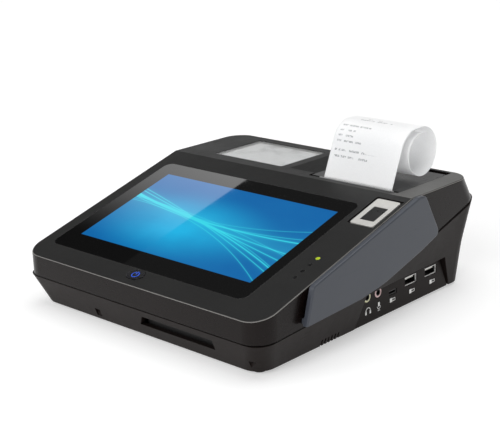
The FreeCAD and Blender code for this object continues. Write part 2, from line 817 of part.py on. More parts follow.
def make_fingerprint():
    plate = slab("print_plate", "print_left", "print_right", "print_low", "print_high",
                 "-print_recess", "0.1", "1.5", plate=True)
    hole = slab("print_gap", "print_left + 3.8", "print_right - 3.2", "print_low + 5.5",
                "print_high - 9", "-3", "3", "0.8", plate=True)
    node(cut(plate, hole, "fingerprint_bezel"), "fingerprint_bezel")
    node(slab("fingerprint_sensor", "print_left + 3.9", "print_right - 3.3", "print_low + 5.6",
              "print_high - 9.1", "-3.2", "-0.2", "0.8", plate=True), "fingerprint_sensor")
    node(slab("fingerprint_board", "print_left + 1", "print_right - 1", "print_low + 1",
              "print_high - 3", "-4.6", "-3.2", "1", plate=True), "fingerprint_board")


def make_reader_window():
    top = f"{RIDGE_Z} - 0.2"
    low = f"{RIDGE_Z} - window_step"
    node(slab("reader_window_lens", "window_left + 0.15", "window_right - 0.15",
              "window_front + 0.15", "window_rear - 0.15", low, top, "1.85"),
         "reader_window_lens")
    node(slab("reader_window_panel", "window_left - 2", "window_right + 2", "window_front - 2",
              "window_rear + 2", f"{RIDGE_Z} - top_wall - 1.2", f"{RIDGE_Z} - top_wall", "2"),
         "reader_window_panel")
    node(slab("contactless_antenna", "window_left + 4", "window_right - 4", "window_front + 4",
              "window_rear - 4", f"{RIDGE_Z} - top_wall - 2.6", f"{RIDGE_Z} - top_wall - 1.2",
              "1"), "contactless_antenna")


# ---------------------------------------------------------------- printer

BUSH_SPANS = (("26.2", "29.2"), ("88.0", "90.8"))
ARM_SPANS = (("27.6", "29.2"), ("88.0", "89.4"))
EAR_SPANS = (("26.2", "27.2"), ("89.8", "90.8"))


def make_lid():
    top = f"{RIDGE_Z} - lid_drop"
    plate = slab("lid_plate", "bay_left + lid_gap", "bay_right - lid_gap", "lid_front",
                 "hinge_y - lid_rear_step", f"{top} - lid_thick", top)
    web = block("lid_web", "bay_left + lid_gap", "bay_right - lid_gap", "hinge_y - 2.4",
                "hinge_y - lid_rear_step", "hinge_z", f"{top} - 1")
    length = "bay_right - bay_left - 2 * lid_gap"
    barrel = rod("lid_barrel", "x", "bay_left + lid_gap", "hinge_y", "hinge_z", "hinge_barrel",
                 length)
    skirts = [block("lid_skirt", left, right, "platen_y + 6", "hinge_y - 6",
                    "hinge_z - 2.4", f"{RIDGE_Z} - 1")
              for left, right in (("bay_left + lid_gap", "bay_left + lid_gap + 1.6"),
                                  ("bay_right - lid_gap - 1.6", "bay_right - lid_gap"))]
    arms = [block("lid_arm", left, right, "platen_y - 4.1", "platen_y + 4.6",
                  "platen_z - 4.2", f"{RIDGE_Z} - 1") for left, right in ARM_SPANS]
    whole = fuse([plate, web, barrel] + skirts + arms, "lid_solid")
    tools = [rod("lid_bore", "x", "bay_left", "hinge_y", "hinge_z", "hinge_pin + run_clear",
                 "bay_right - bay_left")]
    tools += [rod("bush_seat", "x", f"{left} - 1", "platen_y", "platen_z", "bush_radius", "4")
              for left, right in ARM_SPANS]
    tools.append(rod("gear_relief", "x", "90.6", "platen_y", "platen_z", "6.8", "5"))
    node(cut(whole, fuse(tools, "lid_tools"), "printer_lid"), "printer_lid")
    node(rod("lid_hinge_pin", "x", "bay_left - 2.6", "hinge_y", "hinge_z", "hinge_pin",
             "bay_right - bay_left + 4.8"), "lid_hinge_pin")


def make_platen():
    spot = ("platen_y", "platen_z")
    roller = rod("roller", "x", "30.2", *spot, "platen_radius", "57.4")
    bore = rod("roller_bore", "x", "30", *spot, "shaft_radius", "60")
    node(cut(roller, bore, "platen_roller"), "platen_roller")
    node(rod("platen_shaft", "x", "25.6", *spot, "shaft_radius", "gear_right - 25.6"),
         "platen_shaft")
    bushes = []
    for left, right in BUSH_SPANS:
        outer = rod("bush_outer", "x", left, *spot, "bush_radius", f"{right} - {left}")
        inner = rod("bush_inner", "x", f"{left} - 1", *spot, "shaft_radius + run_clear", "6")
        bushes.append(cut(outer, inner, "bush"))
    node(fuse(bushes, "platen_bushes"), "platen_bushes")


def gear_outline(teeth, pitch_module, phase):
    """Closed face of a straight-toothed gear with trapezoid teeth, about (0, 0)."""
    pitch = teeth * pitch_module / 2
    tip = pitch + pitch_module * 0.9
    root = pitch - pitch_module * 1.15
    step = 2 * math.pi / teeth
    corners = []
    for i in range(teeth):
        middle = phase + i * step
        for radius, width in ((root, 0.66), (pitch, 0.44), (tip, 0.24)):
            corners.append((radius, middle - width * step / 2))
        for radius, width in ((tip, 0.24), (pitch, 0.44), (root, 0.66)):
            corners.append((radius, middle + width * step / 2))
    points = [Vector(0, r * math.cos(a), r * math.sin(a)) for r, a in corners]
    return Part.Face(Part.makePolygon(points + points[:1]))


def make_gear(label, teeth, y, z, bore, phase):
    """Gear lying in an x band, its axis along x through (y, z)."""
    solid = gear_outline(int(num(teeth)), num("module"), phase)
    solid = solid.extrude(Vector(num("gear_right - gear_left"), 0, 0))
    hole = Part.makeCylinder(num(bore), 10, Vector(-1, 0, 0), Vector(1, 0, 0))
    made = doc.addObject("Part::Feature", label)
    made.Shape = solid.cut(hole)
    place(made, "gear_left", y, z)
    node(made, label)


MESH_FIRST = "(module * (platen_teeth + idler_teeth) / 2 + mesh_clear)"
MESH_SECOND = "(module * (idler_teeth + pinion_teeth) / 2 + mesh_clear)"
IDLER_Z = f"(platen_z - {MESH_FIRST})"
PINION_TURN = 200.0
PINION_Y = f"(platen_y + {MESH_SECOND} * cos({PINION_TURN}))"
PINION_Z = f"({IDLER_Z} + {MESH_SECOND} * sin({PINION_TURN}))"


def make_gears():
    # tooth of the platen gear points down into a gap at the top of the idler
    idler_step = 2 * math.pi / num("idler_teeth")
    pinion_step = 2 * math.pi / num("pinion_teeth")
    idler_phase = math.pi / 2 + idler_step / 2
    make_gear("platen_gear", "platen_teeth", "platen_y", "platen_z", "shaft_radius",
              -math.pi / 2)
    make_gear("idler_gear", "idler_teeth", "platen_y", IDLER_Z, "1 + run_clear", idler_phase)
    # the pinion turns its gap towards whichever idler tooth faces it
    facing = math.radians(PINION_TURN)
    ahead = (facing - idler_phase) / idler_step
    lag = (ahead - round(ahead)) * idler_step
    ratio = num("idler_teeth / pinion_teeth")
    pinion_phase = facing + math.pi + pinion_step / 2 + lag * ratio
    make_gear("motor_pinion", "pinion_teeth", PINION_Y, PINION_Z, "1", pinion_phase)
    node(rod("idler_pin", "x", "90.8", "platen_y", IDLER_Z, "1", "gear_right + 0.3 - 90.8"),
         "idler_pin")


def make_printer_frame():
    ears = [block("ear", left, right, "138.4", "164.4", "38", "70.6") for left, right in EAR_SPANS]
    bridge = block("bridge", "26.2", "90.8", "141", "142.2", "57.5", "70")
    whole = fuse(ears + [bridge], "frame_solid")
    tools = [block("notch", "20", "95", "platen_y - bush_radius - 0.1",
                   "platen_y + bush_radius + 0.1", "platen_z", "90"),
             rod("notch_foot", "x", "20", "platen_y", "platen_z", "bush_radius + 0.1", "80"),
             rod("motor_way", "x", "85", PINION_Y, PINION_Z, "1.4", "8"),
             rod("idler_way", "x", "85", "platen_y", IDLER_Z, "1", "8")]
    node(cut(whole, fuse(tools, "frame_tools"), "printer_frame"), "printer_frame")
    can = rod("motor_can", "x", "77", PINION_Y, PINION_Z, "8", "89.8 - 77")
    shaft = rod("motor_shaft", "x", "89", PINION_Y, PINION_Z, "1", "gear_right - 89")
    node(fuse([can, shaft], "feed_motor"), "feed_motor")


def make_head():
    face = "platen_y - platen_radius - paper_clear - 0.3"
    node(block("thermal_head", "31", "87", f"{face} - 2.4", face, "60", "72.2"), "thermal_head")
    plate = block("sink_plate", "31", "87", f"{face} - 4.4", f"{face} - 2.4", "58", "72.2")
    fins = [block("sink_fin", f"{40 + 8 * i}", f"{41 + 8 * i}", f"{face} - 6.4",
                  f"{face} - 4.4", "58", "72") for i in range(5)]
    node(fuse([plate] + fins, "head_heatsink"), "head_heatsink")
    # two bent strips press the head against the platen
    springs = []
    for left in ("33", "76"):
        springs.append(side_prism("leaf", [
            ("142.2", "60"), ("142.6", "60"), ("142.6", "66.4"), (f"{face} - 4.4", "67.6"),
            (f"{face} - 4.4", "69.6"), (f"{face} - 4.8", "69.6"), (f"{face} - 4.8", "68"),
            ("142.2", "66.8"),
        ], left, f"{left} + 6"))
    node(fuse(springs, "head_springs"), "head_springs")
    node(block("tear_bar", "28", "90", "bay_front", "bay_front + 1.1", "72.5",
               f"{RIDGE_Z} + 0.4"), "tear_bar")


def make_bucket():
    box = block("bucket_box", "29", "89.4", "164.8", "209.2", "roll_z - roll_radius - 2.6", "62")
    tools = [rod("bucket_hollow", "x", "30.2", "roll_y", "roll_z", "roll_radius + 1.2", "58"),
             block("bucket_mouth", "30.2", "88.2", "roll_y - roll_radius - 1.2",
                   "roll_y + roll_radius + 1.2", "roll_z", "80"),
             block("bucket_lip", "20", "95", "160", "168", "50", "80")]
    node(cut(box, fuse(tools, "bucket_tools"), "paper_bucket"), "paper_bucket")


def make_roll():
    spot = ("roll_y", "roll_z")
    width = "paper_right - paper_left"
    paper = rod("roll_paper", "x", "paper_left", *spot, "roll_radius", width)
    heart = rod("roll_heart", "x", "paper_left - 1", *spot, "core_radius", f"{width} + 2")
    node(cut(paper, heart, "paper_roll"), "paper_roll")
    tube = rod("core_tube", "x", "paper_left", *spot, "core_radius", width)
    hollow = rod("core_hollow", "x", "paper_left - 1", *spot, "core_radius - 1.2",
                 f"{width} + 2")
    node(cut(tube, hollow, "roll_core"), "roll_core")


def ribbon(label, start, heading, runs, thick):
    """Sheet of paper whose middle line is a chain of straight runs and arcs.

    Each run is (length, turn): turn in degrees, positive to the left, 0 for straight.
    """
    sides = {1: [], -1: []}
    point = start
    angle = math.radians(heading)
    for length, turn in runs:
        sweep = math.radians(turn)
        ends = {}
        for part in (0.0, 0.5, 1.0):
            bent = angle + sweep * part
            if turn:
                radius = length / sweep
                spot = point + Vector(0, radius * (math.sin(bent) - math.sin(angle)),
                                      radius * (math.cos(angle) - math.cos(bent)))
            else:
                spot = point + Vector(0, math.cos(angle), math.sin(angle)) * (length * part)
            ends[part] = (spot, Vector(0, -math.sin(bent), math.cos(bent)))
        for side in sides:
            trio = [spot + normal * (side * thick / 2) for spot, normal in ends.values()]
            curve = Part.Arc(*trio) if turn else Part.LineSegment(trio[0], trio[2])
            sides[side].append(curve.toShape())
        point = ends[1.0][0]
        angle += sweep
    caps = []
    for which, at in ((0, 0), (-1, -1)):
        pair = [sides[side][which].Vertexes[at].Point for side in (1, -1)]
        caps.append(Part.LineSegment(*pair).toShape())
    edges = sides[1] + sides[-1] + caps
    outline = Part.Wire(Part.__sortEdges__(edges))
    made = doc.addObject("Part::Feature", label)
    made.Shape = Part.Face(outline).extrude(Vector(num("paper_right - paper_left"), 0, 0))
    place(made, "paper_left", "0", "0")
    return node(made, label)


# receipt above the tear bar: leans back, then curls over and round on itself
RECEIPT_LEAN = 67.0
RECEIPT_RUNS = [(27.8, 0), (19.9, -67), (6.6, 0), (44.2, -150), (32.5, -120), (15.2, -62),
                (14.4, -62)]


def make_paper():
    edge = num("platen_y - platen_radius - paper_clear")
    ribbon("receipt", Vector(0, edge, num(f"{RIDGE_Z} + 0.6")), RECEIPT_LEAN, RECEIPT_RUNS,
           num("paper_thick"))
    # loaded web: from the top of the roll, under the platen and up past the head
    bend = num("platen_radius + paper_clear")
    reach = num("roll_radius + 0.3") + bend
    back = num("roll_y - platen_y")
    drop = num("platen_z - roll_z")
    distance = math.hypot(back, drop)
    tilt = math.asin(reach / distance) - math.atan2(drop, back)
    span = math.sqrt(distance ** 2 - reach ** 2)
    under = Vector(0, num("platen_y") + bend * math.sin(tilt),
                   num("platen_z") - bend * math.cos(tilt))
    from_roll = under + Vector(0, math.cos(tilt), math.sin(tilt)) * span
    sweep = -(math.pi / 2 + tilt)
    rise = num(f"{RIDGE_Z} + 0.5 - platen_z")
    ribbon("paper_web", from_roll, 180 + math.degrees(tilt),
           [(span, 0), (bend * -sweep, math.degrees(sweep)), (rise, 0)], num("paper_thick"))


# ---------------------------------------------------------------- electronics

BOARD_SCREWS = (("-74", "20"), ("-6", "20"), ("-74", "104"), ("52", "132"))


def make_boards():
    board = slab("board_plate", "-80", "60", "14", "138", "board_z + 1", "board_z + 2.6", "2")
    ways = [rod("board_hole", "z", x, y, "board_z", "1.3", "5") for x, y in BOARD_SCREWS]
    node(cut(board, fuse(ways, "board_holes"), "main_board"), "main_board")
    node(slab("processor_shield", "-60", "-20", "40", "80", "board_z + 2.6", "board_z + 5.4",
              "1"), "processor_shield")
    node(slab("io_board", "64", "port_face_x - 4", "102", "190", "board_z", "board_z + 1.2",
              "1"), "io_board")
    screws = []
    for x, y in BOARD_SCREWS:
        head = rod("head", "z", x, y, "board_z + 2.6", "2.6", "1.6")
        shank = rod("shank", "z", x, y, "floor_wall", "1.2", "board_z + 2.6 - floor_wall")
        screws.append(fuse([head, shank], "board_screw"))
    node(fuse(screws, "board_screws"), "board_screws")


def make_connectors():
    tongues = []
    for i, y in enumerate(USB_SPOTS, start=1):
        half = "usb_wide / 2"
        shell = block("usb_outer", "port_face_x - 15", "port_face_x - 0.5", f"{y} - {half}",
                      f"{y} + {half}", "board_z - 7", "board_z - 1.2")
        hollow = block("usb_inner", "port_face_x - 13", "port_face_x + 1",
                       f"{y} - {half} + 0.4", f"{y} + {half} - 0.4", "board_z - 6.6",
                       "board_z - 1.6")
        node(cut(shell, hollow, "usb_port"), f"usb_port_{i}")
        tongues.append(block("tongue", "port_face_x - 13", "port_face_x - 2.5",
                             f"{y} - {half} + 0.95", f"{y} + {half} - 0.95",
                             "board_z - 3.8", "board_z - 1.9"))
    node(fuse(tongues, "usb_tongues"), "usb_tongues")
    shell = slab("micro_outer", "port_face_x - 6", "port_face_x - 0.5", "micro_y - 3.9",
                 "micro_y + 3.9", "board_z - 8.1", "board_z - 5.4")
    hollow = block("micro_inner", "port_face_x - 5", "port_face_x + 1", "micro_y - 3.5",
                   "micro_y + 3.5", "board_z - 7.7", "board_z - 5.8")
    node(cut(shell, hollow, "micro_usb_port"), "micro_usb_port")
    for label, y in JACKS.items():
        nose = rod("jack_nose", "x", "port_face_x - 4", y, "jack_z", "jack_radius", "4.1")
        box = block("jack_box", "port_face_x - 15", "port_face_x - 3.9", f"{y} - 3.6",
                    f"{y} + 3.6", "jack_z - 3.2", "board_z")
        way = rod("jack_way", "x", "port_face_x - 13", y, "jack_z", "1.8", "20")
        node(cut(fuse([nose, box], "jack_solid"), way, label), label)
    inlet = block("inlet_box", "inlet_x - inlet_wide / 2 + 0.5",
                  "inlet_x + inlet_wide / 2 - 0.5", "203", "216.4", "9.4", "19.6")
    socket = rod("inlet_way", "y", "inlet_x", "205", "14.5", "3.2", "20")
    pin = rod("inlet_pin", "y", "inlet_x", "204", "14.5", "0.9", "8")
    node(fuse([cut(inlet, socket, "inlet_shell"), pin], "dc_inlet"), "dc_inlet")
    jack = block("network_box", "network_x - network_wide / 2 + 0.4",
                 "network_x + network_wide / 2 - 0.4", "197.5", "216.4", "9.4", "23")
    way = block("network_way", "network_x - network_wide / 2 + 2.4",
                "network_x + network_wide / 2 - 2.4", "202", "220", "12.6", "21")
    node(cut(jack, way, "network_port"), "network_port")


def make_card_reader():
    box = slab("reader_box", "3", "69", "9.8", "76", "5.4", "17.6", "1")
    way = block("reader_way", "8", "62.6", "0", "70", "10.6", "12.2")
    node(cut(box, way, "card_reader"), "card_reader")


def make_swipe_head():
    block_body = block("head_case", "half_width - 8", "half_width + 0.4", "92", "102", "45",
                       "57")
    node(rounded(block_body, lambda edge: edge.BoundBox.ZLength > 1 and
                 edge.CenterOfMass.x > num("half_width"), "0.35", "swipe_head"), "swipe_head")


def make_power():
    node(slab("battery_pack", "battery_left + 2", "battery_right - 2", "battery_front + 4",
              "battery_rear - 10", "floor_wall + 0.2", "19", "3"), "battery_pack")
    door = slab("door_plate", "battery_left + 0.3", "battery_right - 0.3",
                "battery_front + 0.3", "battery_rear - 0.3", "0", "floor_wall", "2.7")
    grips = [block("door_grip", "-60", "-46", f"{116 + 3 * i}", f"{117.4 + 3 * i}", "-1",
                   "0.6") for i in range(4)]
    node(cut(door, fuse(grips, "door_grips"), "battery_door"), "battery_door")
    magnet = rod("speaker_magnet", "z", "84", "70", "5.6", "6", "4")
    cone = rod("speaker_cone", "z", "84", "70", "2.6", "9.5", "3")
    node(fuse([magnet, cone], "speaker"), "speaker")


def make_underside():
    feet = [slab("foot", f"{x} - 8", f"{x} + 8", f"{y} - 4.5", f"{y} + 4.5", "-foot_height",
                 "0", "4") for x, y in (("-84", "17"), ("88", "17"), ("-80", "199"),
                                        ("80", "199"))]
    node(fuse(feet, "rubber_feet"), "rubber_feet")
    screws = []
    for x, y in screw_spots():
        head = rod("head", "z", x, y, "0.2", "2.9", "1.2")
        shank = rod("shank", "z", x, y, "1.4", "1.5", "11.6")
        drive = rod("drive", "z", x, y, "-0.5", "1.1", "1.5")
        screws.append(cut(fuse([head, shank], "screw"), drive, "base_screw"))
    node(fuse(screws, "base_screws"), "base_screws")


# ---------------------------------------------------------------- build and write

make_top_housing()
make_base_housing()
make_side_fin()
make_screen()
make_power_key()
make_indicators()
make_fingerprint()
make_reader_window()
make_lid()
make_platen()
make_gears()
make_printer_frame()
make_head()
make_bucket()
make_roll()
make_paper()
make_boards()
make_connectors()
make_card_reader()
make_swipe_head()
make_power()
make_underside()

doc.recompute()
for item in doc.Objects:
    if "Invalid" in item.State or "Error" in item.State:
        raise RuntimeError(f"{item.Name} failed: {item.State}")
for label, item in nodes.items():
    if item.Shape.isNull() or not item.Shape.isValid():
        raise RuntimeError(f"{label} has no valid shape")

os.makedirs("parts", exist_ok=True)
for label, item in nodes.items():
    item.Shape.exportStep(f"parts/{label}.step")
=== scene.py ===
import math

import bmesh
import bpy
from mathutils import Matrix, Vector


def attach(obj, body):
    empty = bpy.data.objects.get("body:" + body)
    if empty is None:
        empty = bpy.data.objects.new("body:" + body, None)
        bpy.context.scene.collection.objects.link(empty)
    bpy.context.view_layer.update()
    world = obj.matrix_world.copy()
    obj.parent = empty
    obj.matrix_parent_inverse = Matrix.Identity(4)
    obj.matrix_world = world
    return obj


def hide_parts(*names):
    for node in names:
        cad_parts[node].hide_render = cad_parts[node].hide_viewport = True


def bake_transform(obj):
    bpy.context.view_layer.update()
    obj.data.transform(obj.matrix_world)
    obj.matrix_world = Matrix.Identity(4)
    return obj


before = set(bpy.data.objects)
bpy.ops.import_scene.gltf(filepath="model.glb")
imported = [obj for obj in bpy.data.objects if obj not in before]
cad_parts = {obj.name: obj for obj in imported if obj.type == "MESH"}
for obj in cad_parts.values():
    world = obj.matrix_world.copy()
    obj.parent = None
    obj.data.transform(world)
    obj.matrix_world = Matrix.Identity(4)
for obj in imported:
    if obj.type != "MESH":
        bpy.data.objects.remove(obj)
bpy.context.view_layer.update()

MM = 0.001
SLOPE = math.radians(15.9)                            # of the plate that holds the screen
PLATE_ORIGIN = Vector((-2.9, -112.25, 36.4)) * MM     # middle of the plate's front edge
PLATE_U = Vector((1, 0, 0))                           # across the plate
PLATE_V = Vector((0, math.cos(SLOPE), math.sin(SLOPE)))     # up the plate


# ------------------------------------------------------------------ node helper

BEVEL_SAMPLES = 4
EDGE_TURN = (0.004, 0.09)       # turn of the normal (1 - cosine) where an edge starts, and is full
WORN_HIGHLIT_RADIUS = 0.0006


class Shader:
    """A material being built; its methods return the output socket of a new node."""

    def __init__(self, name, colour=(0.5, 0.5, 0.5), rough=0.5, **sockets):
        self.material = bpy.data.materials.new(name)
        self.material.use_nodes = True
        self.nodes = self.material.node_tree.nodes
        self.links = self.material.node_tree.links
        self.bsdf = self.nodes["Principled BSDF"]
        self.set(base_color=(*colour, 1), roughness=rough, **sockets)
        self.point = self.make("ShaderNodeTexCoord").outputs["Object"]

    @classmethod
    def reopen(cls, material, coordinate="Object"):
        """A Shader that goes on building a finished material."""
        s = cls.__new__(cls)
        s.material, s.nodes, s.links = material, material.node_tree.nodes, material.node_tree.links
        s.bsdf = s.nodes["Principled BSDF"]
        s.point = s.make("ShaderNodeTexCoord").outputs[coordinate]
        return s

    def make(self, kind, values=None, **props):
        made = self.nodes.new(kind)
        for key, value in props.items():
            setattr(made, key, value)
        for key, value in (values or {}).items():
            self.feed(made.inputs[key], value)
        return made

    def feed(self, socket, value):
        if isinstance(value, bpy.types.NodeSocket):
            self.links.new(value, socket)
        else:
            socket.default_value = value

    def set(self, **sockets):
        """Set or link sockets of the surface shader, named in lower case with underscores."""
        names = {s.name.lower().replace(" ", "_"): s for s in self.bsdf.inputs}
        for key, value in sockets.items():
            self.feed(names[key], value)

    def base_colour(self):
        """The socket that feeds the base colour so far."""
        return self.bsdf.inputs["Base Color"].links[0].from_socket

    def math(self, operation, a, b=0.0, clamp=False):
        made = self.make("ShaderNodeMath", {0: a, 1: b}, operation=operation, use_clamp=clamp)
        return made.outputs[0]

    def add(self, a, b):
        return self.math("ADD", a, b)

    def times(self, a, b):
        return self.math("MULTIPLY", a, b)

    def vector(self, operation, a, b):
        made = self.make("ShaderNodeVectorMath", {0: a, 1: b}, operation=operation)
        return made.outputs["Value" if operation == "DOT_PRODUCT" else "Vector"]

    def noise(self, size, detail=2.0, stretch=(1, 1, 1)):
        """Noise between 0 and 1; size is that of its features, in the coordinate's unit."""
        spot = self.vector("MULTIPLY", self.point, stretch)
        values = {"Vector": spot, "Scale": 1 / size, "Detail": detail}
        return self.make("ShaderNodeTexNoise", values).outputs["Fac"]

    def grains(self, size):
        """Distance to the middle of the nearest cell, for grains and dots."""
        values = {"Vector": self.point, "Scale": 1 / size}
        return self.make("ShaderNodeTexVoronoi", values).outputs["Distance"]

    def span(self, value, low, high, to_low=0.0, to_high=1.0, smooth=False):
        """value, clamped and mapped from low..high to to_low..to_high."""
        made = self.make("ShaderNodeMapRange", {0: value, 1: low, 2: high, 3: to_low, 4: to_high})
        made.interpolation_type = "SMOOTHSTEP" if smooth else "LINEAR"
        return made.outputs[0]

    def mix(self, share, a, b):
        def full(c):
            return c if isinstance(c, bpy.types.NodeSocket) else (*c, 1)
        made = self.make("ShaderNodeMix", data_type="RGBA")
        self.feed(made.inputs["Factor"], share)
        self.feed(made.inputs[6], full(a))
        self.feed(made.inputs[7], full(b))
        return made.outputs[2]

    def rounded(self, radius):
        """The normal that edges of this radius would have."""
        return self.make("ShaderNodeBevel", {"Radius": radius}, samples=BEVEL_SAMPLES).outputs[0]

    def edge(self, radius):
        """1 along convex and concave edges, 0 on flat areas."""
        flat = self.make("ShaderNodeNewGeometry").outputs["Normal"]
        away = self.math("SUBTRACT", 1.0, self.vector("DOT_PRODUCT", self.rounded(radius), flat))
        return self.span(away, *EDGE_TURN, smooth=True)

    def worn_and_highlit(self, amount):
        """Patches along the edges made lighter, as wear from handling and as a painted highlight,
        up to amount.
        """
        patches = self.span(self.noise(0.006, 3), 0.3, 0.65, 0, amount)
        return self.times(self.edge(WORN_HIGHLIT_RADIUS), patches)

    def handled(self, rough, fine_depth, scuff_depth):
        """Roughness about rough, with fine variation, fingermarks and long scuffs."""
        smear = self.span(self.noise(0.03, 3, (1, 1.7, 1)), 0.25, 0.85, 0.02, -0.04, smooth=True)
        scuff = self.span(self.noise(0.0016, 2, (1, 0.08, 1)), 0.66, 0.74, 0, scuff_depth)
        fine = self.span(self.noise(0.004, 3), 0, 1, -fine_depth, fine_depth)
        marked = self.add(self.add(fine, rough), smear)
        self.set(roughness=self.math("ADD", marked, scuff, clamp=True))

    def bump(self, height, distance, strength, round_edges=0.0):
        made = self.make("ShaderNodeBump", {"Height": height, "Distance": distance,
                                            "Strength": strength})
        if round_edges:
            self.feed(made.inputs["Normal"], self.rounded(round_edges))
        self.set(normal=made.outputs[0])


def shade(colour, factor, lift=0.0):
    """colour made darker or lighter by factor, then lifted towards white."""
    return tuple(min(1, c * factor + lift) for c in colour)


# ------------------------------------------------------------------ surfaces, in metres

GRAIN = 0.00045                 # grain size of the spark texture
SOFT_EDGE = 0.00035             # edge radius of moulded plastic


def moulded(name, colour, rough, depth=0.000022, edge_light=0.35, specular=0.5):
    """Injection-moulded plastic: spark texture, faint mottling, edges lightened as wear and as a
    painted highlight, fingermarks.
    """
    s = Shader(name, colour, rough, specular_ior_level=specular)
    mottle = s.math("SUBTRACT", s.noise(0.03, 3), 0.5)
    speck = s.math("SUBTRACT", s.noise(GRAIN * 2.2, 2), 0.5)
    tone = s.add(s.times(mottle, 0.12), s.times(speck, 0.096))
    light = tuple(c * 1.2 for c in colour)          # not held to 1, so that white keeps its mottle
    body = s.mix(s.math("ADD", tone, 0.5, clamp=True), shade(colour, 0.8), light)
    # edges painted lighter: partly wear, partly a painted highlight
    s.set(base_color=s.mix(s.worn_and_highlit(edge_light), body, shade(colour, 2.2, 0.02)))
    s.handled(rough, 0.05, 0.10)
    height = s.add(s.grains(GRAIN), s.times(s.noise(GRAIN * 0.5, 1), 0.5))
    s.bump(height, depth, 0.6, round_edges=SOFT_EDGE)
    return s.material


RIGHT_OF_LID = (0.0865, 0.090)  # x where the painted sky reflection on the level faces beside the lid starts
REAR_BAND = (0.094, 0.099)      # y where the painted edge highlight ends


def top_shell(name):
    """Top housing: textured charcoal facing up, glossy dark sides, a painted edge highlight
    between them, a painted sky reflection beside the lid.
    """
    s = Shader(name, (0.013, 0.013, 0.013), 0.4, specular_ior_level=0.16)
    place = s.make("ShaderNodeSeparateXYZ", {0: s.point})
    normal = s.make("ShaderNodeNewGeometry").outputs["Normal"]
    facing = s.make("ShaderNodeSeparateXYZ", {0: normal}).outputs["Z"]
    upward = s.span(facing, 0.80, 0.93, smooth=True)
    level = s.span(facing, 0.972, 0.992, smooth=True)
    mottle = s.span(s.noise(0.03, 3), 0.2, 0.8)
    speck = s.span(s.noise(0.0009, 2), 0.25, 0.75)
    charcoal = s.mix(s.times(s.add(mottle, speck), 0.5),
                     (0.0115, 0.0115, 0.0115), (0.0175, 0.0175, 0.017))
    gloss = s.mix(mottle, (0.0052, 0.0032, 0.0028), (0.0080, 0.0052, 0.0046))
    body = s.mix(upward, gloss, charcoal)
    # painted reflection: level faces right of the lid are painted pale, as if mirroring the bright
    # sky; those left of it are painted near black
    reflection_beside_lid = s.span(place.outputs["X"], *RIGHT_OF_LID)
    sky_reflection_band = s.mix(reflection_beside_lid, (0.006, 0.006, 0.006), (0.115, 0.114, 0.110))
    body = s.mix(level, body, sky_reflection_band)
    # edges painted lighter: partly wear, partly a painted highlight
    body = s.mix(s.worn_and_highlit(0.4), body, (0.07, 0.068, 0.066))
    # painted highlight: a pale band on the rounded edge between the top and the sides, fading out
    # towards the rear
    edge_highlight = s.times(s.span(facing, 0.28, 0.5, smooth=True),
                  s.span(facing, 0.80, 0.92, 1, 0, smooth=True))
    edge_highlight = s.times(edge_highlight, s.span(place.outputs["Y"], *REAR_BAND, 0.85, 0))
    s.set(base_color=s.mix(edge_highlight, body, (0.22, 0.215, 0.205)))
    s.handled(s.span(upward, 0, 1, 0.26, 0.40), 0.04, 0.08)
    height = s.add(s.grains(GRAIN), s.times(s.noise(0.00025, 1), 0.5))
    height = s.times(height, s.span(upward, 0, 1, 0.25, 1))
    s.bump(height, 0.00002, 0.6, round_edges=SOFT_EDGE)
    return s.material


BORE_SHADE_EDGE = (0.00215, 0.0023)   # radius where the painted shade of the bore gives way to the collar


def jack(name, colour, centre):
    """Socket with a coloured collar round a bore painted dark as shade; centre is the bore's (y,
    z).
    """
    s = Shader(name, colour, 0.3)
    split = s.make("ShaderNodeSeparateXYZ", {0: s.point})
    off_y = s.math("SUBTRACT", split.outputs["Y"], centre[0])
    off_z = s.math("SUBTRACT", split.outputs["Z"], centre[1])
    reach = s.math("SQRT", s.add(s.times(off_y, off_y), s.times(off_z, off_z)))
    collar = s.span(reach, *BORE_SHADE_EDGE)
    tone = s.mix(s.span(s.noise(0.0006, 3), 0.3, 0.7), colour, shade(colour, 0.85))
    # painted shade: the bore is painted near black inside the collar
    s.set(base_color=s.mix(collar, (0.004, 0.004, 0.004), tone))
    s.set(roughness=s.span(s.noise(0.0008, 3), 0, 1, 0.22, 0.38))
    s.bump(s.grains(0.0004), 0.000006, 0.5, round_edges=0.0002)
    return s.material


def metal(name, colour, rough, brushed, tarnish=0.12, metallic=1.0):
    """Plated or brushed metal with lay marks, tarnish, and edges made bright as wear and as a
    painted highlight.
    """
    s = Shader(name, colour, rough, metallic=metallic)
    lay = s.noise(0.0007, 3, brushed)
    stain = s.span(s.noise(0.008, 4), 0.4, 0.75, smooth=True)
    body = s.mix(lay, colour, shade(colour, 1 - tarnish))
    body = s.mix(s.times(stain, 0.6), body, shade(colour, 1 - tarnish * 3))
    # edges painted brighter: partly worn metal, partly a painted highlight
    s.set(base_color=s.mix(s.times(s.edge(0.0003), 0.5), body, shade(colour, 1.15, 0.03)))
    s.set(roughness=s.math("ADD", s.span(lay, 0.2, 0.8, rough - 0.06, rough + 0.08),
                           s.times(stain, 0.14), clamp=True))
    s.bump(lay, 0.000008, 0.5, round_edges=0.00015)
    return s.material


PORT_FACE = 0.0968              # x of the sockets' faces
PALE_SOCKETS = (0.030, 0.036)   # y between the small dark socket and the two bright ones


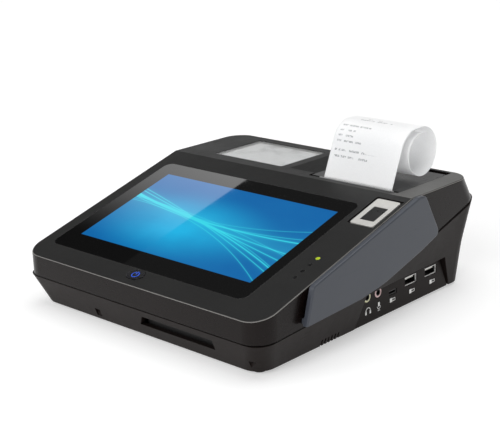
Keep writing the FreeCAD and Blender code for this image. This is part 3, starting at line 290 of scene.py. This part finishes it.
def socket_shell(name):
    """Plated socket shells: bright at their faces, with painted shade further in; the small one
    dark.
    """
    material = metal(name, (0.93, 0.92, 0.90), 0.36, (1, 0.1, 1), tarnish=0.04, metallic=0.5)
    s = Shader.reopen(material)
    place = s.make("ShaderNodeSeparateXYZ", {0: s.point})
    plating = s.mix(s.span(place.outputs["Y"], *PALE_SOCKETS), (0.10, 0.10, 0.10),
                    s.base_colour())
    # painted shade: the shells darken with depth behind their faces, where shade falls inside the
    # sockets
    painted_depth_shade = s.span(place.outputs["X"], PORT_FACE - 0.0012, PORT_FACE - 0.0003)
    s.set(base_color=s.mix(painted_depth_shade, (0.02, 0.02, 0.02), plating))
    return material


def rubbery(name, colour, rough):
    s = Shader(name, colour, rough, specular_ior_level=0.3, sheen_weight=0.15)
    dust = s.span(s.noise(0.003, 4), 0.5, 0.8, 0, 0.5, smooth=True)
    s.set(base_color=s.mix(dust, colour, shade(colour, 2, 0.02)))
    s.set(roughness=s.span(s.noise(0.002, 3), 0, 1, rough - 0.08, rough + 0.1))
    s.bump(s.noise(0.0004, 3), 0.00003, 0.7, round_edges=0.0003)
    return s.material


def circuit(name, colour):
    """Solder-masked board: weave under green lacquer, copper runs and small pads."""
    threads = 5200.0            # radians of weave for each metre
    s = Shader(name, colour, 0.35, coat_weight=0.4)
    split = s.make("ShaderNodeSeparateXYZ", {0: s.point})
    brick = s.make("ShaderNodeTexBrick", {"Vector": s.point, "Scale": 120.0, "Mortar Size": 0.06,
                                          "Color1": (0, 0, 0, 1), "Color2": (0, 0, 0, 1),
                                          "Mortar": (1, 1, 1, 1)})
    weave = s.math("SINE", s.times(split.outputs[0], threads))
    across = s.math("SINE", s.times(split.outputs[1], threads))
    cloth = s.span(s.times(weave, across), -1, 1, 0, 0.3)
    pads = s.span(s.grains(0.0042), 0.16, 0.2, 1, 0)
    body = s.mix(cloth, colour, shade(colour, 0.6))
    lacquer = s.mix(s.times(brick.outputs["Color"], 0.7), body, shade(colour, 2.2, 0.03))
    s.set(base_color=s.mix(pads, lacquer, (0.55, 0.53, 0.47)))
    s.set(roughness=s.span(s.noise(0.003, 2), 0, 1, 0.28, 0.5))
    s.bump(s.add(pads, brick.outputs["Fac"]), 0.00006, 0.6)
    return s.material


def paper(name, colour=(0.93, 0.93, 0.93)):
    """Soft matt paper or card with a faint fibre and a slight waviness."""
    s = Shader(name, colour, 0.6, specular_ior_level=0.25, subsurface_weight=0.7,
               subsurface_scale=0.001, subsurface_radius=(1, 1, 1))
    fibre = s.noise(0.0009, 5, (1, 0.5, 1))
    s.set(base_color=s.mix(s.span(fibre, 0.3, 0.7), shade(colour, 0.95), colour))
    s.set(roughness=s.span(fibre, 0.3, 0.7, 0.5, 0.68))
    s.bump(s.add(fibre, s.times(s.noise(0.014, 2), 2.0)), 0.00002, 0.6)
    return s.material


PRINT_ROWS = [      # distance along the receipt, first and last place across, letter height, mm
    (51.0, 15.0, 27.0, 1.2),
    (47.8, 11.0, 38.0, 1.6),
    (38.2, 3.0, 27.0, 1.4),
    (34.0, 3.0, 20.0, 1.4),
    (30.0, 3.0, 18.0, 1.4),
    (26.2, 3.0, 25.0, 1.4),
    (20.0, 3.0, 39.0, 1.5),
    (15.6, 3.0, 32.0, 1.5),
]
LETTER, WORD = 0.55, 3.2            # sizes of the patches that break up a row, mm


def printed_paper(name):
    """Thermal paper with rows of faint, unreadable marks, placed by its UVs in mm."""
    material = paper(name)
    s = Shader.reopen(material, "UV")
    split = s.make("ShaderNodeSeparateXYZ", {0: s.point})
    across, along = split.outputs["X"], split.outputs["Y"]
    ink = None
    for place, first, last, height in PRINT_ROWS:
        off = s.math("ABSOLUTE", s.math("SUBTRACT", along, place))
        row = s.span(off, height * 0.42, height * 0.5, 1, 0)
        middle, half = (first + last) / 2, (last - first) / 2
        reach = s.math("ABSOLUTE", s.math("SUBTRACT", across, middle))
        row = s.times(row, s.span(reach, half - 0.2, half, 1, 0))
        ink = row if ink is None else s.add(ink, row)
    letters = s.span(s.noise(LETTER, 2, (1, 0.6, 1)), 0.40, 0.52)
    words = s.span(s.noise(WORD, 0, (1, 0.35, 1)), 0.40, 0.46)
    print_share = s.times(s.times(ink, letters), s.times(words, 0.8))
    s.set(base_color=s.mix(print_share, s.base_colour(), (0.16, 0.16, 0.17)))
    s.set(emission_color=(0.94, 0.97, 1, 1), emission_strength=0.07)     # painted light: a faint glow that lifts the paper's shaded curl, in place of light soaking through
    return material


def clear(name, tint, rough):
    """Thin clear plastic with a little haze where it has been touched."""
    s = Shader(name, tint, rough, transmission_weight=1.0, ior=1.45)
    s.set(roughness=s.span(s.noise(0.012, 4), 0.4, 0.8, rough, rough + 0.12, smooth=True))
    s.bump(s.noise(0.0006, 2), 0.000003, 0.4)
    return s.material


def lamp(name, colour, glow):
    """Small moulded lens with a stippled face, lit where glow is above 0."""
    s = Shader(name, colour, 0.16, specular_ior_level=0.5, coat_weight=0.3)
    stipple = s.grains(0.0009)
    s.set(base_color=s.mix(s.span(stipple, 0, 0.6), colour, shade(colour, 0.6)))
    s.set(roughness=s.span(s.noise(0.0012, 3), 0, 1, 0.1, 0.3))
    if glow:
        s.set(emission_color=(*colour, 1), emission_strength=glow)
    s.bump(stipple, 0.00002, 0.4, round_edges=0.0002)
    return s.material


# ------------------------------------------------------------------ screen glass, in mm

DISPLAY_MIDDLE = (-6.7, 76.95)
DISPLAY_HALF = (78.5, 43.65)
FIELD_MIDDLE = (-22.0, 68.0)        # lightest spot of the blue field
FIELD_REACH = (80, 42)
KNOT = (-28.0, 80.0)                # where the light lines come closest together
KNOT_SLOPE = -0.1                   # slope of the halo along them
HALO_WIDTH = 9
STREAKS = [     # height at the knot, slope, bend, width, brightness
    (0.0, -0.112, 0.112, 0.50, 1.0),
    (0.6, -0.198, -0.102, 0.40, 0.9),
    (-0.8, -0.178, 0.058, 0.46, 0.8),
    (1.4, -0.236, 0.016, 0.34, 0.8),
    (-1.6, -0.080, 0.140, 0.24, 0.6),
    (2.2, -0.309, -0.051, 0.30, 0.7),
    (-2.6, -0.218, -0.202, 0.24, 0.6),
    (0.2, -0.073, 0.213, 0.22, 0.5),
    (3.2, -0.110, -0.070, 0.22, 0.5),
    (1.0, -0.150, -0.140, 0.20, 0.5),
]


def plate_axes(s):
    """(u, v) of the shaded point on the sloping plate, in millimetres."""
    start = s.vector("SUBTRACT", s.point, tuple(PLATE_ORIGIN))
    return tuple(s.vector("DOT_PRODUCT", start, tuple(axis * 1000)) for axis in (PLATE_U, PLATE_V))


def glass_material():
    """Black-printed cover glass with the lit display behind its clear window."""
    s = Shader("screen_glass", (0.006, 0.006, 0.006), 0.05, specular_ior_level=0.5)
    u, v = plate_axes(s)
    lit = None
    for value, middle, half in zip((u, v), DISPLAY_MIDDLE, DISPLAY_HALF):
        away = s.math("ABSOLUTE", s.math("SUBTRACT", value, middle))
        inside = s.span(away, half - 0.15, half + 0.15, 1, 0)
        lit = inside if lit is None else s.times(lit, inside)
    # blue field, lighter towards the middle left
    across = s.times(s.math("SUBTRACT", u, FIELD_MIDDLE[0]), 1 / FIELD_REACH[0])
    along = s.times(s.math("SUBTRACT", v, FIELD_MIDDLE[1]), 1 / FIELD_REACH[1])
    reach = s.math("SQRT", s.add(s.times(across, across), s.times(along, along)))
    field = s.mix(s.span(reach, 0.0, 1.1, smooth=True), (0.010, 0.50, 0.86), (0.001, 0.125, 0.40))
    drift = s.noise(0.045, 3, (1, 1.6, 1))
    field = s.mix(s.span(drift, 0.35, 0.7, 0, 0.35), field, (0.005, 0.18, 0.46))
    # fan of light lines, with the run from the knot in units of 100 mm
    run = s.times(s.math("SUBTRACT", u, KNOT[0]), 0.01)
    glow = None
    for rise, slope, bend, width, power in STREAKS:
        bent = s.times(s.times(run, run), bend * 100)
        line = s.math("ADD", s.add(s.times(run, slope * 100), bent), KNOT[1] + rise)
        off = s.times(s.math("SUBTRACT", v, line), 1 / width)
        beam = s.math("DIVIDE", power, s.math("ADD", s.times(off, off), 1.0))
        glow = beam if glow is None else s.add(glow, beam)
    spine = s.add(s.times(run, KNOT_SLOPE * 100), KNOT[1])
    halo_off = s.times(s.math("SUBTRACT", v, spine), 1 / HALO_WIDTH)
    halo = s.math("DIVIDE", 0.35, s.add(s.times(halo_off, halo_off), 1.0))
    picture = s.mix(s.math("ADD", glow, 0.0, clamp=True), field, (0.045, 0.84, 0.92))
    picture = s.mix(halo, picture, (0.03, 0.46, 0.72))
    s.set(emission_color=s.mix(lit, (0, 0, 0), picture))
    s.set(emission_strength=0.95)
    smear = s.span(s.noise(0.03, 3, (1, 2, 1)), 0.45, 0.8, 0, 0.03, smooth=True)
    fine = s.span(s.noise(0.002, 2), 0, 1, 0.010, 0.022)
    s.set(roughness=s.math("ADD", fine, smear, clamp=True))
    s.bump(s.noise(0.0008, 2), 0.0000008, 0.3, round_edges=0.0002)
    return s.material


JACK_Z = 0.0196

MATERIALS = {
    "shell_top": top_shell("shell_top"),
    "shell_base": moulded("shell_base", (0.0115, 0.0083, 0.0074), 0.42, specular=0.10),
    "fin": moulded("fin", (0.050, 0.056, 0.070), 0.36, specular=0.38, depth=0.000012),
    "lid": moulded("lid", (0.007, 0.007, 0.007), 0.30, specular=0.4, depth=0.000014),
    "screen_glass": glass_material(),
    "screen_panel": moulded("screen_panel", (0.02, 0.03, 0.05), 0.3, depth=0.000004),
    "sheet_steel": metal("sheet_steel", (0.56, 0.57, 0.58), 0.34, (0.08, 1, 1)),
    "key_cap": moulded("key_cap", (0.006, 0.006, 0.008), 0.24, specular=0.45, edge_light=0.2),
    "key_light": lamp("key_light", (0.02, 0.08, 0.55), 0.6),
    "lamp_dark": lamp("lamp_dark", (0.006, 0.006, 0.006), 0),
    "lamp_lit": lamp("lamp_lit", (0.40, 0.52, 0.02), 0.45),
    "silver_trim": metal("silver_trim", (0.66, 0.65, 0.62), 0.36, (0.1, 1, 1), tarnish=0.05,
                         metallic=0.35),
    "sensor_black": moulded("sensor_black", (0.010, 0.010, 0.010), 0.3, depth=0.000006),
    "clear_lens": clear("clear_lens", (0.95, 0.96, 0.96), 0.04),
    "light_panel": moulded("light_panel", (0.88, 0.88, 0.88), 0.4, specular=0.5, edge_light=0.1),
    "board": circuit("board", (0.010, 0.085, 0.028)),
    "steel": metal("steel", (0.60, 0.60, 0.60), 0.28, (1, 1, 0.1)),
    "rubber": rubbery("rubber", (0.014, 0.014, 0.014), 0.75),
    "acetal": moulded("acetal", (0.66, 0.65, 0.60), 0.4, depth=0.000008, edge_light=0.1),
    "brass": metal("brass", (0.72, 0.52, 0.20), 0.3, (0.1, 1, 1)),
    "black_nylon": moulded("black_nylon", (0.012, 0.012, 0.012), 0.5, edge_light=0.2),
    "aluminium": metal("aluminium", (0.72, 0.73, 0.74), 0.36, (0.08, 1, 1)),
    "ceramic_head": moulded("ceramic_head", (0.30, 0.28, 0.26), 0.2, depth=0.000003),
    "paper": paper("paper"),
    "card": paper("card", (0.42, 0.31, 0.20)),
    "port_metal": socket_shell("port_metal"),
    "jack_green": jack("jack_green", (0.70, 0.68, 0.42), (-0.00265, JACK_Z)),
    "jack_pink": jack("jack_pink", (0.74, 0.50, 0.50), (0.0088, JACK_Z)),
    "battery": moulded("battery", (0.02, 0.022, 0.03), 0.4, depth=0.000008),
    "mark_white": moulded("mark_white", (0.85, 0.85, 0.83), 0.5, depth=0.000004, edge_light=0),
}

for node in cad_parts.values():
    slot = node.data.materials[0].name.split(".")[0]
    node.data.materials.clear()
    node.data.materials.append(MATERIALS[slot])


def make_mesh(name, points, faces, material, unit=1.0):
    """New mesh object in the scene; unit is the length of the points' unit in metres."""
    mesh = bpy.data.meshes.new(name)
    mesh.from_pydata([tuple(Vector(p) * unit) for p in points], [], faces)
    mesh.materials.append(material)
    made = bpy.data.objects.new(name, mesh)
    bpy.context.scene.collection.objects.link(made)
    return made


def add_piece(name, points, faces, material):
    """New piece of the object, from points in mm."""
    made = make_mesh(name, points, faces, material, MM)
    return made


# ------------------------------------------------------------------ receipt, in mm

RECEIPT_START = (40.35, 78.475)          # y, z where the receipt leaves the lid
RECEIPT_SIDES = (27.8, 84.8)
RECEIPT_LEAN = 67                        # degrees above level
RECEIPT_RUNS = [(27.8, 0), (19.9, -67), (6.6, 0), (44.2, -150), (32.5, -120), (15.2, -62),
                (14.4, -62)]             # length, turn in degrees
RECEIPT_TEETH = 24                       # zigzag left by the tear bar
SHEET = 0.2                              # thickness


def receipt_path(step=0.8):
    """Points (distance, y, z) along the curled receipt."""
    (y, z), heading, gone = RECEIPT_START, math.radians(RECEIPT_LEAN), 0.0
    path = [(gone, y, z)]
    for length, turn in RECEIPT_RUNS:
        count = math.ceil(length / step)
        for _ in range(count):
            half = math.radians(turn) / count / 2
            heading += half
            y += math.cos(heading) * length / count
            z += math.sin(heading) * length / count
            heading += half
            gone += length / count
            path.append((gone, y, z))
    return path


def add_receipt():
    path, columns = receipt_path(), 2 * RECEIPT_TEETH
    low, high = RECEIPT_SIDES
    points, uvs = [], []
    for index, (gone, y, z) in enumerate(path):
        for column in range(columns + 1):
            x = low + (high - low) * column / columns
            if index == len(path) - 1 and column % 2:          # notch between two teeth
                _, near_y, near_z = path[index - 1]
                points.append((x, (y + near_y) / 2, (z + near_z) / 2))
            else:
                points.append((x, y, z))
            uvs.append((x - low, gone))
    wide = columns + 1
    faces = [(r * wide + c, r * wide + c + 1, (r + 1) * wide + c + 1, (r + 1) * wide + c)
             for r in range(len(path) - 1) for c in range(columns)]
    made = add_piece("printed_receipt", points, faces, printed_paper("printed_paper"))
    layer = made.data.uv_layers.new(name="across_along")
    for loop in made.data.loops:
        layer.data[loop.index].uv = uvs[loop.vertex_index]
    made.data.polygons.foreach_set("use_smooth", [True] * len(faces))
    sheet = made.modifiers.new("sheet", "SOLIDIFY")
    sheet.thickness, sheet.offset = SHEET * MM, 0
    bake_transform(made)
    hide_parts("receipt")


# ------------------------------------------------------------------ port pictograms, in mm

PANEL_X = 97.3
INK = 0.04                               # thickness of a printed mark
MARK_SCALE = 1.3
MARK_Z = 10.0
HEADPHONE_Y, MICROPHONE_Y = -1.65, 9.65
PLUG_YS = (24.45, 45.95, 69.25)


def ring_band(centre, inner, outer, start, end, count=18):
    """Outline of part of a ring, as a strip of (y, z) quads."""
    turns = [math.radians(start + (end - start) * i / count) for i in range(count + 1)]
    return [tuple((centre[0] + math.cos(a) * r, centre[1] + math.sin(a) * r)
                  for a, r in ((t0, inner), (t0, outer), (t1, outer), (t1, inner)))
            for t0, t1 in zip(turns, turns[1:])]


def block(y0, y1, z0, z1):
    return [((y0, z0), (y1, z0), (y1, z1), (y0, z1))]


def add_pictogram(name, y, quads):
    """White printed mark on the port panel, about (y, MARK_Z)."""
    points, faces = [], []
    for quad in quads:
        faces.append(tuple(range(len(points), len(points) + 4)))
        points += [(PANEL_X + INK / 2, y + a * MARK_SCALE, MARK_Z + b * MARK_SCALE)
                   for a, b in quad]
    made = add_piece(name, points, faces, MATERIALS["mark_white"])
    joined = bmesh.new()
    joined.from_mesh(made.data)
    bmesh.ops.remove_doubles(joined, verts=joined.verts, dist=INK * MM / 10)
    joined.to_mesh(made.data)
    joined.free()
    layer = made.modifiers.new("ink", "SOLIDIFY")
    layer.thickness, layer.offset = INK * MM, 0
    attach(made, "terminal")


HEADPHONES = (ring_band((0, -0.2), 1.7, 2.1, 0, 180)              # band and two ear pads
              + block(-2.3, -1.2, -1.7, 0.1) + block(1.2, 2.3, -1.7, 0.1))
MICROPHONE = (block(-0.7, 0.7, -0.1, 2.1) + ring_band((0, 0), 1.15, 1.5, 180, 360)
              + block(-0.18, 0.18, -2.2, -1.4) + block(-0.9, 0.9, -2.4, -2.1))
PLUG = (block(-2.3, -0.4, -1.1, 1.1) + block(-0.4, 2.2, 0.45, 0.8)      # grip and open shell
        + block(-0.4, 2.2, -0.8, -0.45) + block(1.85, 2.2, -0.45, 0.45))

add_receipt()
add_pictogram("headphone_mark", HEADPHONE_Y, HEADPHONES)
add_pictogram("microphone_mark", MICROPHONE_Y, MICROPHONE)
for number, place in enumerate(PLUG_YS, start=1):
    add_pictogram(f"plug_mark_{number}", place, PLUG)


# ------------------------------------------------------------------ stage, in metres

FLOOR = 30.0                             # half the floor's side
SOFTBOX_Z = 1.152
SOFTBOX = [(-1.369, 0.55), (-1.183, 0.95), (-1.85, 0.95), (-1.85, 0.55)]
SKY_FADE = (0.22, 0.52)                  # heights between which the sky dims
SKY_GLOW = (0.72, 0.04)                  # its strength below and above them
LIGHTS = [      # name, place, aim, size, watts
    ("key", (0.5, -1.9, 1.5), (0, 0, 0.04), (1.2, 1.2), 24),
    ("fill", (-1.5, -1.6, 1.2), (0, 0, 0.04), (1.4, 1.0), 8),
    ("top", (0.0, 0.3, 2.4), (0, 0, 0), (2.4, 2.4), 44),
]


def stage_mesh(name, corners, z, material):
    points = [(x, y, z) for x, y in corners]
    made = make_mesh(name, points, [tuple(range(len(points)))], material)
    return made


def floor_material():
    """White sweep, brightening away from the middle until it meets the studio background."""
    s = Shader("floor", (0.64, 0.64, 0.64), 0.6, specular_ior_level=0.2)
    s.set(base_color=s.mix(s.noise(0.4, 2), (0.63, 0.63, 0.63), (0.65, 0.65, 0.65)))
    away = s.make("ShaderNodeVectorMath", {0: s.point}, operation="LENGTH").outputs["Value"]
    near = s.span(away, 0.2, 1.4, 0.46, 0.60, smooth=True)
    far = s.span(away, 1.2, 4.0, 0, 0.42, smooth=True)
    s.set(emission_color=(1, 1, 1, 1), emission_strength=s.add(near, far))
    return s.material


def softbox_material():
    """Soft panel seen only in reflections, fading towards its near and left edges."""
    s = Shader("softbox", (0, 0, 0), 1.0, specular_ior_level=0.0)
    split = s.make("ShaderNodeSeparateXYZ", {0: s.point})
    fall = s.times(s.span(split.outputs["Y"], 0.60, 0.86, smooth=True),
                   s.span(split.outputs["X"], -1.75, -1.25, 0.55, 1))
    s.set(emission_color=(1, 1, 1, 1), emission_strength=s.times(fall, 1.7))
    return s.material


def add_sky():
    """Studio background, bright near the horizon and dim overhead."""
    world = bpy.data.worlds.new("studio")
    bpy.context.scene.world = world
    world.use_nodes = True
    nodes, links = world.node_tree.nodes, world.node_tree.links
    background = nodes["Background"]
    way = nodes.new("ShaderNodeTexCoord")
    split = nodes.new("ShaderNodeSeparateXYZ")
    fade = nodes.new("ShaderNodeMapRange")
    fade.interpolation_type = "SMOOTHSTEP"
    links.new(way.outputs["Generated"], split.inputs[0])
    links.new(split.outputs["Z"], fade.inputs[0])
    for index, value in enumerate(SKY_FADE + SKY_GLOW, start=1):
        fade.inputs[index].default_value = value
    links.new(fade.outputs[0], background.inputs["Strength"])
    background.inputs["Color"].default_value = (1, 1, 1, 1)


def soft_light(name, spot, target, size, power):
    data = bpy.data.lights.new(name, "AREA")
    data.shape = "RECTANGLE"
    data.size, data.size_y = size
    data.energy = power
    made = bpy.data.objects.new(name, data)
    made.location = spot
    made.rotation_mode = "QUATERNION"
    made.rotation_quaternion = (Vector(target) - Vector(spot)).to_track_quat("-Z", "Y")
    bpy.context.scene.collection.objects.link(made)


stage_mesh("floor", [(-FLOOR, -FLOOR), (FLOOR, -FLOOR), (FLOOR, FLOOR), (-FLOOR, FLOOR)], 0,
           floor_material())
softbox = stage_mesh("softbox", SOFTBOX, SOFTBOX_Z, softbox_material())
softbox.visible_camera = softbox.visible_diffuse = softbox.visible_shadow = False
add_sky()
for light in LIGHTS:
    soft_light(*light)


# ------------------------------------------------------------------ camera

CAMERA_PLACE = (0.5366, -0.57585, 0.2946)
AZIMUTH, ELEVATION, ROLL = (math.radians(a) for a in (43.25, 17.26, -1.77))
LENS, SENSOR = 87.22, 36.0

camera_data = bpy.data.cameras.new("camera")
camera_data.sensor_width = SENSOR
camera_data.lens = LENS
camera_data.clip_start, camera_data.clip_end = 0.02, 50
camera = bpy.data.objects.new("camera", camera_data)
bpy.context.scene.collection.objects.link(camera)
bpy.context.scene.camera = camera
back = Vector((math.sin(AZIMUTH) * math.cos(ELEVATION), -math.cos(AZIMUTH) * math.cos(ELEVATION),
               math.sin(ELEVATION)))
level = Vector((math.cos(AZIMUTH), math.sin(AZIMUTH), 0))
upright = back.cross(level)
right = level * math.cos(ROLL) + upright * math.sin(ROLL)
up = upright * math.cos(ROLL) - level * math.sin(ROLL)
camera.matrix_world = Matrix.Translation(CAMERA_PLACE) @ Matrix(
    (right, up, back)).transposed().to_4x4()

bpy.context.scene.view_settings.view_transform = "Standard"
